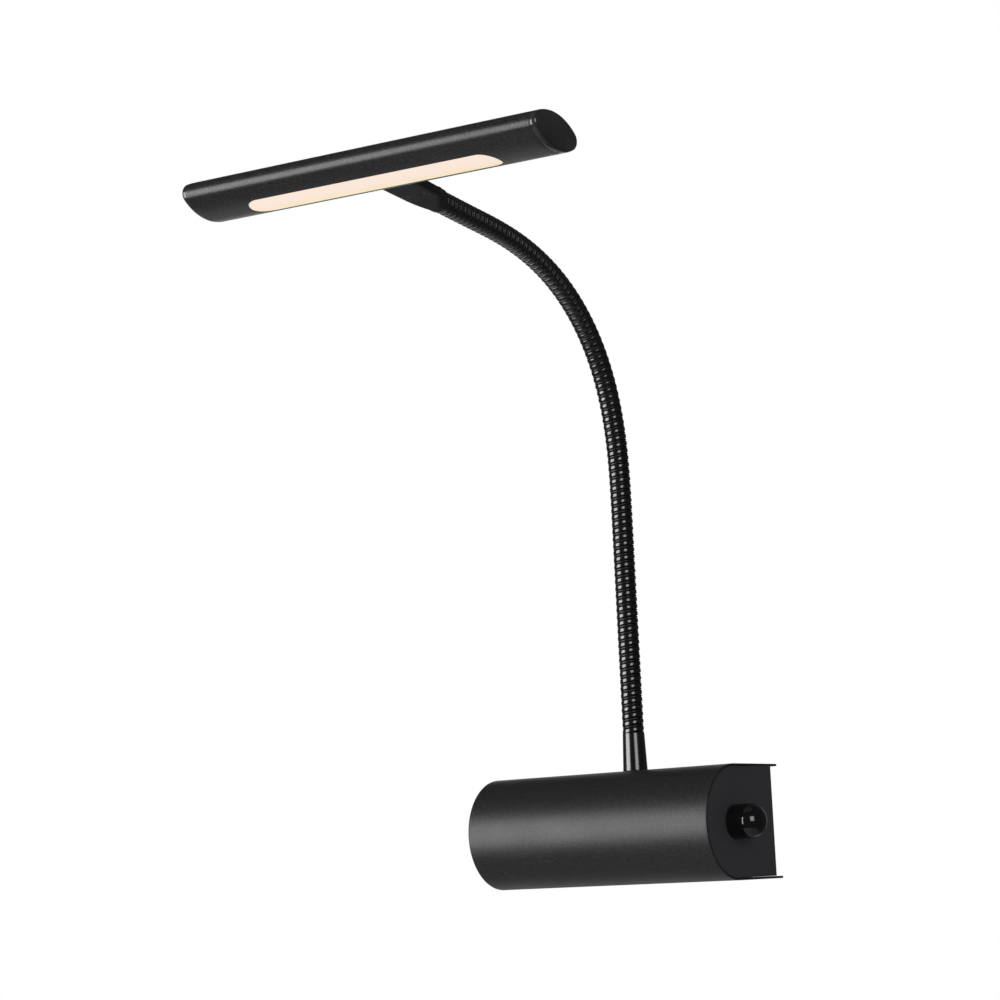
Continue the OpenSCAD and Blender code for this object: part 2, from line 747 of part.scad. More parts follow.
module bracket_screws() {
    color("#0e0e0f") place_head() for (s = [-1, 1])
        translate([s * bracket_screw_x, bracket_screw_y, cover_z - cover_t]) sunk_screw(
            bracket_screw_r, bracket_screw_len, bracket_screw_r + bracket_screw_sink, bracket_screw_sink);
}

// Screws inside the tube that draw the bracket against its back edge
module saddle_screws() {
    color("#b9bcc0") place_tube() for (s = [-1, 1]) translate([s * saddle_screw_x, saddle_seat, 0])
        rotate([-90, 0, 0]) pan_screw(saddle_screw_r, head_w / 2 + 8 - saddle_seat, saddle_head_r, 1.6);
}

// Stadium prism of the light window, grown by the given distance
module window_prism(grow) {
    translate([0, 0, -head_t]) linear_extrude(head_t)
        slot_outline(window_len + 2 * grow, window_w + 2 * grow);
}

// Oval tube with inner rails, the light window below and holes in its back edge
module head_tube() {
    color("#222224") place_tube() difference() {
        along_x(tube_len) difference() {
            oval(0);
            difference() {
                oval(-tube_wall);
                for (s = [-1, 1]) translate([s * (head_w / 2 - tube_wall), -rail_t / 2])
                    square([2 * rail_w, rail_t], center = true);
            }
        }
        window_prism(0);
        for (s = [-1, 1]) translate([s * saddle_screw_x, head_w / 4, 0]) rotate([-90, 0, 0]) {
            cylinder(r = saddle_screw_r + fit, h = head_w / 2);
            cylinder(r = saddle_head_r + fit, h = saddle_seat - head_w / 4);
        }
        translate([0, head_w / 4, 0]) rotate([-90, 0, 0]) cylinder(r = lead_hole_r, h = head_w / 2);
    }
}

// Cap with a rounded outer edge and a hollow spigot that is relieved at the rails
module end_cap() {
    slice = 0.02;
    color("#0c0c0d") {
        hull() {
            translate([tube_len / 2 + slice / 2, 0, 0]) along_x(slice) oval(0);
            for (k = [0:cap_steps]) let (a = 90 * k / cap_steps)
                translate([head_len / 2 - slice / 2 - cap_edge * (1 - sin(a)), 0, 0])
                    along_x(slice) oval(cap_edge * (cos(a) - 1));
        }
        translate([tube_len / 2 - cap_spigot / 2 + past / 2, 0, 0]) along_x(cap_spigot + past) difference() {
            oval(-tube_wall - fit);
            oval(-tube_wall - fit - spigot_wall);
            for (s = [-1, 1]) translate([s * head_w / 2, -rail_t / 2])
                square([2 * (tube_wall + rail_w), rail_t + 1], center = true);
        }
    }
}

module end_cap_left() {
    place_tube() mirror([1, 0, 0]) end_cap();
}

module end_cap_right() {
    place_tube() end_cap();
}

// Opal lens: flush with the tube in the window, with a lip inside it
module diffuser() {
    color("#f6e7cf") place_tube() difference() {
        union() {
            intersection() {
                along_x(tube_len) oval(-fit);
                window_prism(-fit);
            }
            intersection() {
                along_x(tube_len) oval(-tube_wall - fit);
                window_prism(lens_lip);
            }
        }
        translate([-tube_len / 2, -head_w / 2, lens_back + tube_wall - head_t / 2])
            cube([tube_len, head_w, head_t]);
    }
}

module led_carrier() {
    width = 2 * (edge_y + sqrt(pow(edge_r - tube_wall, 2) - carrier_t * carrier_t) - 2 * fit);
    color("#c6c8ca") place_tube() difference() {
        translate([-carrier_len / 2, -width / 2, 0]) cube([carrier_len, width, carrier_t]);
        // room for the lead and the two screw heads at the back edge
        translate([-lead_hole_r, board_w / 2, -past]) cube([2 * lead_hole_r, head_w, carrier_t + 2 * past]);
        for (s = [-1, 1]) translate([s * saddle_screw_x, head_w / 2, 0])
            cube([3.4 * saddle_head_r, head_w / 2.4, 3 * carrier_t], center = true);
    }
}

module led_board() {
    color("#f2f2ee") place_tube() translate([-window_len / 2, -board_w / 2, -board_t])
        cube([window_len, board_w, board_t]);
}

module led_chips() {
    step = (window_len - 10) / (led_count - 1);
    color("#f0d878") place_tube() for (k = [0:led_count - 1])
        translate([-window_len / 2 + 5 + k * step, 0, -board_t - 0.4]) cube([2.8, 3.5, 0.8], center = true);
}

wall_box_shell();
end_plate_left();
end_plate_right();
wall_bracket();
cable_grommet();
cover_screws();
earth_screw();
terminal_block();
terminal_screws();
led_driver();
driver_pad();
mains_leads();
dimmer_body();
dimmer_lugs();
dimmer_nut();
dimmer_leads();
dimmer_shaft();
dimmer_knob();
neck_ferrule();
neck_washer();
neck_nut();
neck_lead();
head_bracket();
bracket_cover();
bracket_screws();
saddle_screws();
head_tube();
end_cap_left();
end_cap_right();
diffuser();
led_carrier();
led_board();
led_chips();
for (i = [0:joint_count]) neck_stretch(i);
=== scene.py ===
import json
import math

import bmesh
import bpy
import numpy as np
from mathutils import Matrix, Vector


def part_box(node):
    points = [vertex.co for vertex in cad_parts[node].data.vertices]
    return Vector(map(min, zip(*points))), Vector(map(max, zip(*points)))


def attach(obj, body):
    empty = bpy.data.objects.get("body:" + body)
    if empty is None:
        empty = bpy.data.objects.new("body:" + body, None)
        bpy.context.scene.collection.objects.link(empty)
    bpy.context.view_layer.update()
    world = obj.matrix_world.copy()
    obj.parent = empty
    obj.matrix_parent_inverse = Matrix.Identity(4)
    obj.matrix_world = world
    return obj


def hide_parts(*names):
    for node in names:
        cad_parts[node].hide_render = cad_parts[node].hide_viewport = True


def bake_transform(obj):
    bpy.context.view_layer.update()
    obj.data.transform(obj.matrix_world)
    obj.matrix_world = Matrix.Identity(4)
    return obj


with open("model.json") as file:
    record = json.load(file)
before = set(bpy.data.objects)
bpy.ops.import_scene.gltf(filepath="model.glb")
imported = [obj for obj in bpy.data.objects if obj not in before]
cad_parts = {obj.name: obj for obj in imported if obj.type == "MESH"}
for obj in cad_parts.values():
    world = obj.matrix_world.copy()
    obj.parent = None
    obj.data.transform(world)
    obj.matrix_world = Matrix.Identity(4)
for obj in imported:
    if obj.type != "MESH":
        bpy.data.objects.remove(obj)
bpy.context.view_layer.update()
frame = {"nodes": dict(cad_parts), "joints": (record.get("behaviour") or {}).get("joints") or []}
scene = bpy.context.scene
nodes = frame["nodes"]
mm = 0.001  # pieces are worked out in millimetres and made in metres
print("frame loaded,", len(nodes), "nodes")

# Camera, at the photograph's place: yaw from straight on, pitch above level, roll about the view
cameraSet = {"place": (0.769, -1.171, -0.023), "yaw": 36.52, "pitch": 8.46, "roll": -2.63, "lens": 91.28,
             "sensor": 36}


def addCamera(look):
    yaw, pitch, roll = (math.radians(look[k]) for k in ("yaw", "pitch", "roll"))
    right = np.array([math.cos(yaw), math.sin(yaw), 0])
    ahead = np.array([-math.sin(yaw), math.cos(yaw), 0])
    above = np.array([0, 0, 1])
    aim = ahead * math.cos(pitch) + above * math.sin(pitch)
    top = above * math.cos(pitch) - ahead * math.sin(pitch)
    camRight = right * math.cos(roll) + top * math.sin(roll)
    camUp = top * math.cos(roll) - right * math.sin(roll)
    data = bpy.data.cameras.new("camera")
    data.lens = look["lens"]
    data.sensor_width = look["sensor"]
    cam = bpy.data.objects.new("camera", data)
    turn = np.eye(4)
    turn[:3] = np.column_stack([camRight, camUp, -aim, look["place"]])
    cam.matrix_world = Matrix(turn.tolist())
    scene.collection.objects.link(cam)
    scene.camera = cam
    return aim


viewAim = addCamera(cameraSet)
print("camera placed")


# Shader sums: a Value is one socket, and arithmetic on it adds Math nodes
class Value:
    def __init__(self, finish, socket):
        self.finish = finish
        self.socket = socket

    def sum(self, operation, first, second):
        return self.finish.node("ShaderNodeMath", {"operation": operation}, {0: first, 1: second})

    def __add__(self, other):
        return self.sum("ADD", self, other)

    def __sub__(self, other):
        return self.sum("SUBTRACT", self, other)

    def __rsub__(self, other):
        return self.sum("SUBTRACT", other, self)

    def __mul__(self, other):
        return self.sum("MULTIPLY", self, other)

    __radd__ = __add__


# One material: its shader's fixed values, and one method that adds any node
class Finish:
    def __init__(self, name, fixed):
        self.material = bpy.data.materials.new(name)
        self.material.use_nodes = True
        self.tree = self.material.node_tree
        self.shader = self.tree.nodes["Principled BSDF"]
        for socket, value in fixed.items():
            self.shader.inputs[socket].default_value = value
        self.place = self.node("ShaderNodeTexCoord", {}, {}, "Object")

    def node(self, kind, settings, inputs, output=0):
        made = self.tree.nodes.new(kind)
        for key, value in settings.items():
            setattr(made, key, value)
        for key, value in inputs.items():
            if isinstance(value, Value):
                self.tree.links.new(value.socket, made.inputs[key])
            else:
                made.inputs[key].default_value = value
        return Value(self, made.outputs[output])

    def noise(self, scale, detail, stretch=None):
        where = self.place
        if stretch:
            where = self.node("ShaderNodeMapping", {}, {"Vector": where, "Scale": stretch})
        return self.node("ShaderNodeTexNoise", {}, {"Vector": where, "Scale": scale, "Detail": detail})

    def rise(self, value, low, high):  # 0 below low, 1 above high
        return self.node("ShaderNodeMapRange", {}, {"Value": value, "From Min": low, "From Max": high})

    def mix(self, share, first, second):
        return self.node("ShaderNodeMix", {"data_type": "RGBA"}, {0: share, 6: first, 7: second}, 2)

    def attribute(self, name):
        return self.node("ShaderNodeAttribute", {"attribute_name": name}, {}, "Fac")

    def feed(self, socket, value):
        self.tree.links.new(value.socket, self.shader.inputs[socket])

    def bump(self, height, strength, distance):
        inputs = {"Height": height, "Strength": strength, "Distance": distance}
        self.feed("Normal", self.node("ShaderNodeBump", {}, inputs))


def tone(code):  # screen colour code to linear light
    parts = [int(code[k:k + 2], 16) / 255 for k in (0, 2, 4)]
    return tuple(c / 12.92 if c <= 0.04045 else ((c + 0.055) / 1.055) ** 2.4 for c in parts) + (1,)


# Finishes

# Satin powder coat: a pebbled skin with fine pale flakes and slow clouds of sheen
def powderCoat(name, dark, flakeTone, rough, flakeShare, shine=0.5):
    coat = Finish(name, {"IOR": 1.5, "Specular IOR Level": shine})
    grain = coat.noise(1250, 3)
    flake = coat.rise(coat.noise(3300, 1), 0.52, 0.74)
    cloud = coat.noise(30, 3)
    coat.feed("Base Color", coat.mix(flake * flakeShare, tone(dark), tone(flakeTone)))
    coat.feed("Metallic", flake * flakeShare)
    coat.feed("Roughness", rough + (cloud - 0.5) * 0.10 + (grain - 0.5) * 0.08)
    coat.bump(grain, 0.30, 0.00008)
    return coat.material


# Plated black wire and turned parts: glossy on the crowns; in the grooves rougher, with less coat and a base colour
# darkened as painted shade
def blackPlate(name, dark, rough):
    plate = Finish(name, {"IOR": 1.62, "Coat Roughness": 0.15, "Coat IOR": 1.6})
    groove_shade = plate.attribute("groove_shade")
    wear = plate.noise(260, 3)
    # painted shade: the base colour goes to near black where the groove mask is high
    plate.feed("Base Color", plate.mix(groove_shade, tone(dark), tone("020202")))
    plate.feed("Roughness", rough + groove_shade * 0.2 + (wear - 0.5) * 0.06)
    plate.feed("Coat Weight", 0.7 - groove_shade * 0.6)
    plate.bump(plate.noise(900, 2), 0.04, 0.00005)
    return plate.material


# Polished moulding: near black, with faint swirls in the gloss
def glossMoulding(name, dark, rough):
    gloss = Finish(name, {"IOR": 1.66})
    swirl = gloss.noise(420, 4, (1, 6, 1))
    cloud = gloss.noise(45, 2)
    gloss.feed("Base Color", gloss.mix(cloud, tone(dark), tone("0b0b0c")))
    gloss.feed("Roughness", rough + (swirl - 0.5) * 0.08)
    gloss.bump(gloss.noise(700, 2), 0.03, 0.00004)
    return gloss.material


# Zinc plated or blackened sheet and screws: rolled streaks along X over blotches
def platedSteel(name, pale, deep, rough):
    steel = Finish(name, {"Metallic": 1.0})
    streak = steel.noise(700, 3, (0.06, 1, 1))
    blotch = steel.noise(60, 4)
    steel.feed("Base Color", steel.mix(blotch * 0.6 + streak * 0.4, tone(deep), tone(pale)))
    steel.feed("Roughness", rough + (streak - 0.5) * 0.2)
    steel.bump(streak, 0.12, 0.00006)
    return steel.material


# Moulded plastic or rubber: fine spark texture and a slow change of tone
def moulded(name, colour, shade, rough):
    skin = Finish(name, {"IOR": 1.46})
    spark = skin.noise(1300, 2)
    cloud = skin.noise(50, 3)
    skin.feed("Base Color", skin.mix(cloud, tone(shade), tone(colour)))
    skin.feed("Roughness", rough + (spark - 0.5) * 0.12)
    skin.bump(spark, 0.2, 0.00007)
    return skin.material


# Floor: its glow shows to the camera alone, so that it adds no light to the lamp
def paleFloor(name, colour, shade):
    ground = Finish(name, {"Roughness": 0.9, "Emission Strength": 0.8})
    ground.feed("Base Color", ground.mix(ground.noise(50, 3), tone(shade), tone(colour)))
    seen = ground.node("ShaderNodeLightPath", {}, {}, "Is Camera Ray")
    ground.feed("Emission Color", ground.mix(seen, (0, 0, 0, 1), (1, 1, 1, 1)))
    return ground.material


# Lit opal lens: cream, warmer by the mesh's own warm values and in soft patches
def opalLens(name):
    opal = Finish(name, {"IOR": 1.49, "Roughness": 0.35, "Emission Strength": 0.815})
    patch = opal.rise(opal.noise(38, 3), 0.42, 0.72)
    warm = opal.attribute("warm") + (patch - 0.5) * 0.12
    glow = opal.mix(warm, tone("fde9da"), tone("f6e1a8"))
    opal.feed("Base Color", opal.mix(patch, tone("8c8076"), tone("94846a")))
    opal.feed("Emission Color", glow)
    opal.bump(opal.noise(900, 2), 0.03, 0.00004)
    return opal.material


shellBlack = powderCoat("shell_black", "121216", "8a8785", 0.43, 0.36)
headBlack = powderCoat("head_black", "121216", "8a8785", 0.36, 0.52)
bracketBlack = powderCoat("bracket_black", "303032", "4c4b4b", 0.6, 0.1, 0.15)
plateBlack = powderCoat("plate_charcoal", "404044", "4d4d4f", 0.6, 0.3)
neckBlack = blackPlate("neck_black", "060606", 0.2)
capBlack = glossMoulding("cap_black", "444444", 0.14)
knobBlack = glossMoulding("knob_black", "101010", 0.09)
opal = opalLens("opal_glow")
zinc = platedSteel("zinc_plate", "c9cbce", "9a9da1", 0.34)
blackScrew = platedSteel("black_screw", "2a2a2b", "141415", 0.36)
brass = platedSteel("brass_plain", "d8b768", "b08c42", 0.3)
whiteCase = moulded("white_case", "e6e6e3", "dcdcd8", 0.42)
greyCase = moulded("grey_case", "5f6266", "53565a", 0.45)
foam = moulded("pad_foam", "8b8b86", "74746f", 0.9)
rubber = moulded("grommet_rubber", "161616", "0f0f0f", 0.7)
bareAluminium = platedSteel("bare_aluminium", "cfd1d3", "b4b6b9", 0.38)
boardWhite = moulded("board_white", "f0f0ec", "e6e6e0", 0.35)
ledYellow = moulded("led_yellow", "f1d986", "e8c860", 0.4)
brownLead = moulded("brown_lead", "6b4a2c", "5c3e24", 0.4)
blueLead = moulded("blue_lead", "3b6ea8", "325f94", 0.4)
redLead = moulded("red_lead", "8c2f2f", "772626", 0.4)
blackLead = moulded("black_lead", "2a2a2c", "1f1f21", 0.45)
print("finishes made")


# Mesh helpers

# Four corners of each cell of a grid of rows by columns; wrap joins the last column to the first
def gridFaces(rows, columns, wrap=True, start=0):
    row = np.arange(rows - 1)[:, None] * columns
    column = np.arange(columns if wrap else columns - 1)[None, :]
    after = (column + 1) % columns
    cells = np.stack([row + column, row + after, row + columns + after, row + columns + column], -1)
    return (cells.reshape(-1, 4) + start).tolist()


def addPiece(name, points, faces, finish, sharp=32, closed=False):
    mesh = bpy.data.meshes.new(name)
    mesh.from_pydata((np.asarray(points, float).reshape(-1, 3) * mm).tolist(), [], faces)
    if closed:  # poles and seams are merged, then the faces are turned outwards
        work = bmesh.new()
        work.from_mesh(mesh)
        bmesh.ops.remove_doubles(work, verts=work.verts, dist=1e-6)
        bmesh.ops.recalc_face_normals(work, faces=work.faces)
        work.to_mesh(mesh)
        work.free()
    mesh.polygons.foreach_set("use_smooth", np.ones(len(mesh.polygons), bool))
    mesh.set_sharp_from_angle(angle=math.radians(sharp))
    mesh.materials.append(finish)
    piece = bpy.data.objects.new(name, mesh)
    scene.collection.objects.link(piece)
    return piece


def unit(v):
    return v / np.linalg.norm(v, axis=-1, keepdims=True)


# Rings about a path: centre + radius (cos a * side + sin a * over), where over = way x side
def ringsAlong(centres, radii, sides, lean):
    way = unit(np.gradient(centres, axis=0))
    side = unit(lean - (way @ lean)[:, None] * way)
    over = np.cross(way, side)
    angle = np.arange(sides) * 2 * math.pi / sides
    spoke = side[:, None] * np.cos(angle)[:, None] + over[:, None] * np.sin(angle)[:, None]
    return centres[:, None] + np.broadcast_to(radii, (len(centres), sides))[..., None] * spoke


# Smooth curve through points: each step is a cubic whose slope at a point follows its two neighbours
def smoothPath(points, steps):
    p = np.asarray(points, float)
    a, b, c, d = p[np.r_[0, 0:len(p) - 2]], p[:-1], p[1:], p[np.r_[2:len(p), len(p) - 1]]
    t = (np.arange(steps) / steps)[None, :, None]
    a, b, c, d = (q[:, None] for q in (a, b, c, d))
    curve = b + 0.5 * t * ((c - a) + t * ((2 * a - 5 * b + 4 * c - d) + t * (3 * b - a - 3 * c + d)))
    return np.vstack([curve.reshape(-1, 3), p[-1:]])


# A turned piece: profile rows of (along, radius) spun about an axis from a point
def turned(profile, origin, axis, sides):
    profile = np.asarray(profile, float)
    aslant = (0.31, 0.52, 0.79)  # lies along no axis that is used
    side = unit(np.cross(axis, aslant))
    over = np.cross(axis, side)
    angle = np.arange(sides) * 2 * math.pi / sides
    spoke = np.cos(angle)[:, None] * side + np.sin(angle)[:, None] * over
    along = profile[:, 0, None, None] * np.asarray(axis, float)
    return np.asarray(origin, float) + along + profile[:, 1, None, None] * spoke


# Quarter round from one direction to another, as (along, radius) offsets about a centre
def roundEdge(centre, along, across, start, stop, steps):
    a = np.radians(np.linspace(start, stop, steps))
    return np.column_stack([centre[0] + along * np.cos(a), centre[1] + across * np.sin(a)])


def vertexTable(piece):
    table = np.empty(len(piece.data.vertices) * 3, np.float32)
    piece.data.vertices.foreach_get("co", table)
    return table.reshape(-1, 3).astype(float)


# Countersunk hole as (along, radius) rows: a cone from outside the face, then the hole itself
def sunkHole(hole, sink, deep, outside=1):
    return [(-outside, 0), (-outside, hole + sink + outside), (sink, hole), (deep, hole), (deep, 0)]


# Round cutters: one profile of (along, radius) spun about Z at each of the places
def holeCutter(profile, places, sides=48):
    each = [turned(profile, place, (0, 0, 1), sides).reshape(-1, 3) for place in places]
    faces = sum((gridFaces(len(profile), sides, start=k * len(each[0])) for k in range(len(each))), [])
    return addPiece("hole_cutter", np.vstack(each), faces, shellBlack, closed=True)


def cutHoles(piece, cutter):  # takes the cutter's space out of the piece and drops the cutter
    step = piece.modifiers.new("holes", "BOOLEAN")
    step.object = cutter
    step.solver = "EXACT"
    cut = bpy.data.meshes.new_from_object(piece.evaluated_get(bpy.context.evaluated_depsgraph_get()))
    piece.modifiers.clear()
    piece.data = cut
    bpy.data.objects.remove(cutter)


# Wall box shell: the sheet's thin rounded section, its length by its thickness, swept along the D curve
boxLook = {"length": 152.5, "height": 60, "depth": 72.5, "sheet": 1.2, "edge": 0.35, "edgeRows": 5, "longRows": 24,
           "longInset": 2, "flatRows": 11, "bendRows": 121,
           "screwSpacing": 84, "screwY": -8, "screwR": 2, "screwGap": 0.05, "screwDepth": 3}


def sheetLoop(look):
    length, thick, edge, count = (look[k] for k in ("length", "sheet", "edge", "longRows"))
    corners = [(length / 2, 0, 90), (length / 2, thick, 0), (-length / 2, thick, -90), (-length / 2, 0, 180)]
    rows = []
    for x, depth, turn in corners:
        centre = (x - math.copysign(edge, x), depth + (edge if depth == 0 else -edge))
        a = np.radians(np.linspace(turn, turn - 90, look["edgeRows"]))
        rows.append(np.column_stack([centre[0] + edge * np.cos(a), centre[1] - edge * np.sin(a)]))
    reach = 0.5 - look["longInset"] / length
    long = np.linspace(reach, -reach, count)
    inner = np.column_stack([long * length, np.full(count, thick)])
    outer = np.column_stack([-long * length, np.zeros(count)])
    return np.vstack([rows[0], rows[1], inner, rows[2], rows[3], outer])


def boxShell(look):
    r = look["height"] / 2
    middle = -(look["depth"] - r)
    flat = np.linspace(0, middle, look["flatRows"] + 1)[:-1]
    bend = np.radians(np.linspace(90, -90, look["bendRows"]))
    up, level = np.ones(len(flat)), np.zeros(len(flat))
    y = np.r_[flat, middle - r * np.cos(bend), flat[::-1]]
    z = np.r_[r * up, r * np.sin(bend), -r * up]
    outY = np.r_[level, -np.cos(bend), level]
    outZ = np.r_[up, np.sin(bend), -up]
    loop = sheetLoop(look)
    x, depth = loop[:, 0], loop[:, 1]
    points = np.stack(np.broadcast_arrays(
        x[None], y[:, None] - depth * outY[:, None], z[:, None] - depth * outZ[:, None]), -1)
    faces = gridFaces(len(y), len(x))
    last = (len(y) - 1) * len(x)
    faces += [list(range(len(x))), list(range(last, last + len(x)))]
    piece = addPiece("box_shell", points, faces, shellBlack, closed=True)
    cone = sunkHole(look["screwR"] + look["screwGap"], look["sheet"], look["screwDepth"])
    cutHoles(piece, holeCutter(cone, [(s * look["screwSpacing"] / 2, look["screwY"], -r) for s in (-1, 1)]))
    return piece


shell = boxShell(boxLook)
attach(shell, "wall_box")
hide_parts("wall_box_shell")
print("wall box made")

# Knob: a straight skirt, a soft shoulder and an oval dome, hollow at the back round the shaft and nut
knobLook = {"radius": 9, "length": 17.5, "dome": 8.4, "hollow": 6.95, "hollowDepth": 4, "bore": 3.05,
            "boreDepth": 13.5, "edge": 0.5, "edgeRows": 5, "skirtRows": (3, 1), "domeRows": 40, "sides": 96}


def dimmerKnob(look):
    low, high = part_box("dimmer_knob")
    origin = (low[0] / mm, (low[1] + high[1]) / 2 / mm, (low[2] + high[2]) / 2 / mm)
    r, edge, shoulder = look["radius"], look["edge"], look["length"] - look["dome"]
    bore, hollow, deep, shallow = (look[k] for k in ("bore", "hollow", "boreDepth", "hollowDepth"))
    bottom = [(deep, 0), (deep, bore), (shallow, bore), (shallow, hollow), (0, hollow)]
    heel = roundEdge((edge, r - edge), -edge, edge, 0, 90, look["edgeRows"])
    skirt = [(shoulder - before, r) for before in look["skirtRows"]]
    dome = roundEdge((shoulder, 0), look["dome"], r, 90, 0, look["domeRows"])
    rows = turned(np.vstack([bottom, heel, skirt, dome]), origin, (1, 0, 0), look["sides"])
    return addPiece("knob_skin", rows, gridFaces(len(rows), look["sides"]), knobBlack, closed=True)


knob = dimmerKnob(knobLook)
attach(knob, "knob")
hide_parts("dimmer_knob")

# Ferrule: a straight taper over its stud, bored for the lead, its two outer edges broken
ferruleLook = {"foot": 6.7, "top": 5.9, "height": 21.5, "stud": 5, "studLength": 11, "bore": 2.9, "socket": 4.45,
               "socketDepth": 8.15, "edge": 0.3, "edgeShare": 0.3, "taperRows": (0.08, 0.95, 8), "sides": 96}


def ferrule(look):
    low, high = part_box("neck_ferrule")
    seat = high[2] / mm - look["height"]
    origin = ((low[0] + high[0]) / 2 / mm, (low[1] + high[1]) / 2 / mm, seat)
    edge, height = look["edge"], look["height"]
    nick = edge * look["edgeShare"]
    inside = [(height - look["socketDepth"], look["bore"]), (-look["studLength"], look["bore"])]
    stud = [(-look["studLength"], look["stud"]), (0, look["stud"])]
    foot = [(0, look["foot"] - edge), (nick, look["foot"] - nick), (edge, look["foot"])]
    share = np.linspace(*look["taperRows"])
    taper = np.column_stack([share * height, look["foot"] + (look["top"] - look["foot"]) * share])
    top = [(height - edge, look["top"]), (height - nick, look["top"] - nick), (height, look["top"] - edge)]
    socket = [(height, look["socket"]), (height - look["socketDepth"], look["socket"]), inside[0]]
    rows = turned(np.vstack([inside, stud, foot, taper, top, socket]), origin, (0, 0, 1), look["sides"])
    return addPiece("ferrule_skin", rows, gridFaces(len(rows), look["sides"]), neckBlack, closed=True)


foot = ferrule(ferruleLook)
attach(foot, "wall_box")
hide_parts("neck_ferrule")
print("knob and ferrule made")

# Gooseneck: one helix of round wire with a wedge wire wound between its turns, and the lead in its bore
neckLook = {"outer": 5.85, "pitch": 3.92, "wireHalf": 1.25, "wireDrop": 0.62, "wedgeDrop": 0.2, "seam": 0.8,
            "lead": 1.6, "leadSides": 12, "leadStep": 0.8, "ball": 4.75, "ballReach": 45, "ballRows": 25, "bore": 3.2,
            "cut": 0.179, "rowsPerTurn": 30, "sides": 72, "lineSteps": 120, "tilted": 0.01}
# Head: its turns in degrees, and the way from the last joint to the bracket's mouth
headTurns = {"tilt": 5.7, "roll": 1.2, "yaw": 3.8, "neckEnd": 27.44}


def turnAbout(axis, degrees):
    return np.array(Matrix.Rotation(math.radians(degrees), 3, axis))


headTurn = turnAbout("Z", headTurns["yaw"]) @ turnAbout("Y", headTurns["roll"]) @ turnAbout("X", -headTurns["tilt"])
neckJoints = [j for j in frame["joints"] if j["name"] != "dimmer_turn"]
neckBodies = ["wall_box"] + [j["child"] for j in neckJoints]
ferruleLow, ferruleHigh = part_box("neck_ferrule")
neckFoot = np.array([0, (ferruleLow[1] + ferruleHigh[1]) / 2, ferruleHigh[2]]) / mm
pivots = np.array([j["pos_m"] for j in neckJoints]) / mm
neckTip = pivots[-1] + headTurn @ (0, -headTurns["neckEnd"], 0)
knots = np.vstack([neckFoot, pivots, neckTip])
spans = np.linalg.norm(np.diff(knots, axis=0), axis=1)
middles = (knots[:-1] + knots[1:]) / 2
middleRuns = np.cumsum(spans) - spans / 2


# Outline of the wound wires: a shallow half oval for each turn of round wire, and a wedge that falls to a seam
def woundDrop(turnsUp, look):
    fromWire = np.abs(turnsUp % 1 - 0.5) * look["pitch"]
    share = np.clip(fromWire / look["wireHalf"], 0, 1)
    wire = look["wireDrop"] * (1 - np.cbrt(1 - share ** 3))
    fromWedge = (look["pitch"] / 2 - fromWire) / (look["pitch"] / 2 - look["wireHalf"])
    wedge = look["wedgeDrop"] + (look["seam"] - look["wedgeDrop"]) * np.clip(fromWedge, 0, 1) ** 2.5
    # The second value marks the grooves for painted shade: 1 on the wedge, rising at the round wire's edges
    return np.where(fromWire < look["wireHalf"], wire, wedge), np.clip(share ** 8, 0, 1)


# Centre line of the neck: straight ends, and from the middle of one stretch to the next a curve drawn towards the joint
def neckLine(steps, spare):
    t = np.linspace(0, 1, steps + 1)[:, None]
    low = neckFoot + unit(neckFoot - middles[0]) * spare
    high = neckTip + unit(neckTip - middles[-1]) * spare
    centres = [(low + (middles[0] - low) * t)[:-1]]
    runs = [np.linspace(-spare, middleRuns[0], steps + 1)[:-1]]
    for k, bend in enumerate(pivots):
        curve = middles[k] * (1 - t) ** 2 + 2 * bend * (1 - t) * t + middles[k + 1] * t ** 2
        way = np.r_[0, np.cumsum(np.linalg.norm(np.diff(curve, axis=0), axis=1))]
        centres.append(curve[:-1])
        runs.append((middleRuns[k] + (middleRuns[k + 1] - middleRuns[k]) * way / way[-1])[:-1])
    centres.append(middles[-1] + (high - middles[-1]) * t)
    runs.append(np.linspace(middleRuns[-1], sum(spans) + spare, steps + 1))
    return np.concatenate(runs), np.vstack(centres)


lineRuns, lineCentres = neckLine(neckLook["lineSteps"], neckLook["pitch"] * 2)
lineWays = unit(np.gradient(lineCentres, axis=0))
neckLean = np.array([1.0, 0, 0])  # the first column of points faces this way


def along(table, runs):
    return np.stack([np.interp(runs, lineRuns, table[:, i]) for i in range(3)], -1)


# A cut follows the seam under one turn of wire: (turn, share of the way round at which it steps up to the next turn)
def cutFrom(run, look):
    turns = run / look["pitch"] - look["cut"]
    return math.floor(turns), math.ceil(turns % 1 * look["sides"]) / look["sides"]


# The step lies on the hinge's own axis, where the two sides of the joint move least
def cutAt(run, axis, look):
    first = 0.0 if abs(axis[0]) > 0.5 else 0.25  # share of the way round at which the axis comes out
    turns = run / look["pitch"] - look["cut"] - 0.5
    choices = [(round(turns - share), share) for share in (first, first + 0.5)]
    return min(choices, key=lambda cut: abs(turns - sum(cut)))


def cutRun(cut, look):  # the cut's middle, as a run from the neck's foot
    return (sum(cut) + look["cut"] + 0.5) * look["pitch"]


